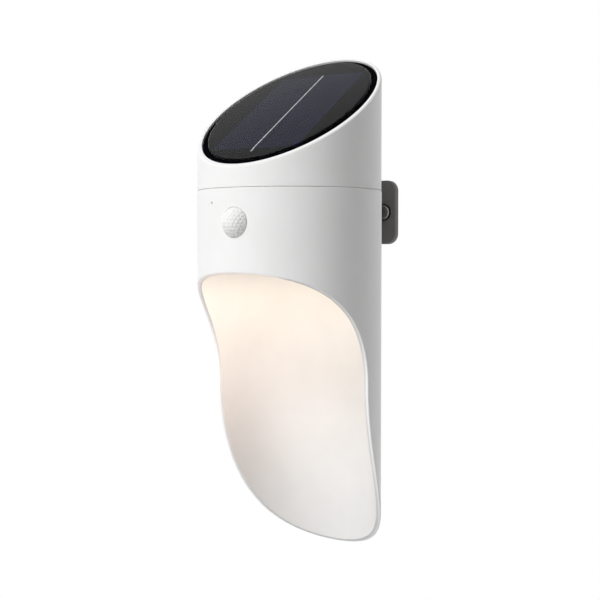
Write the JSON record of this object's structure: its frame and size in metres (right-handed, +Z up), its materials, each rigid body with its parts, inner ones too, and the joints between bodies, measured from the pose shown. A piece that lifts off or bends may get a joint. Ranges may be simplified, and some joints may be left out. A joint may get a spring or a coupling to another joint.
{
  "type": "solar wall light",
  "caption": "Upright white solar wall light on a grey hanging bracket, with a slanted dark panel on top, a motion-sensor dome and a scooped tube whose tongue catches the light.",
  "frame": {"origin": "centre of the bracket's wall face", "axes": "+Z up, along the tube; +Y into the wall; -Y to the front; +X to the right as seen from the front"},
  "size_m": [0.1, 0.1211, 0.2785],
  "materials": {
    "white_plastic": "satin moulded white",
    "bracket_plastic": "fine textured dark grey",
    "dark_screw": "blackened steel",
    "bright_screw": "plain steel",
    "seal_rubber": "soft matt black",
    "black_board": "black laminate",
    "wafer": "dark blue-grey silicon, opaque",
    "tinned_ribbon": "tinned silver",
    "clear_resin": "clear glossy dome",
    "lens_plastic": "faceted milky white",
    "black_plastic": "matt black",
    "sensor_can": "plated can",
    "smoked_pipe": "smoked clear",
    "green_board": "green solder mask",
    "white_board": "white solder mask",
    "lamp_chip": "yellow phosphor",
    "battery_sleeve": null,
    "contact_metal": "nickel plated",
    "opal_plastic": "opal, lit warm white",
    "button_rubber": "soft dark grey",
    "red_wire": "red insulation",
    "white_wire": "white insulation",
    "black_wire": "black insulation"
  },
  "bodies": {
    "bracket": {"wall_bracket": "bracket_plastic", "wall_screws": "dark_screw"},
    "lamp": {"main_housing": "white_plastic", "solar_head": "white_plastic", "seam_seal": "seal_rubber", "head_screws": "bright_screw", "panel_gasket": "seal_rubber", "panel_board": "black_board", "solar_cell": "wafer", "cell_ribbon": "tinned_ribbon", "panel_cover": "clear_resin", "pir_lens": "lens_plastic", "sensor_collar": "black_plastic", "pir_sensor": "sensor_can", "light_pipe": "smoked_pipe", "control_board": "green_board", "board_parts": "black_plastic", "inner_deck": "black_plastic", "deck_screws": "bright_screw", "battery_holder": "black_plastic", "battery_cell": "battery_sleeve", "battery_contacts": "contact_metal", "diffuser_gasket": "seal_rubber", "diffuser": "opal_plastic", "led_board": "white_board", "led_chips": "lamp_chip", "button_seal": "seal_rubber", "switch_body": "black_plastic", "switch_board": "green_board", "panel_lead": "red_wire", "lamp_lead": "white_wire", "switch_lead": "black_wire", "battery_lead": "red_wire"},
    "button": {"mode_button": "button_rubber"}
  },
  "joints": [
    {"name": "lamp_lift", "type": "slide", "parent": "bracket", "child": "lamp", "axis": [0, 0, 1], "range_m": [0, 0.022]},
    {"name": "mode_press", "type": "slide", "parent": "lamp", "child": "button", "axis": [0, 0, 1], "range_m": [0, 0.001], "stiffness_N_per_m": 300, "springref_m": -0.001}
  ]
}
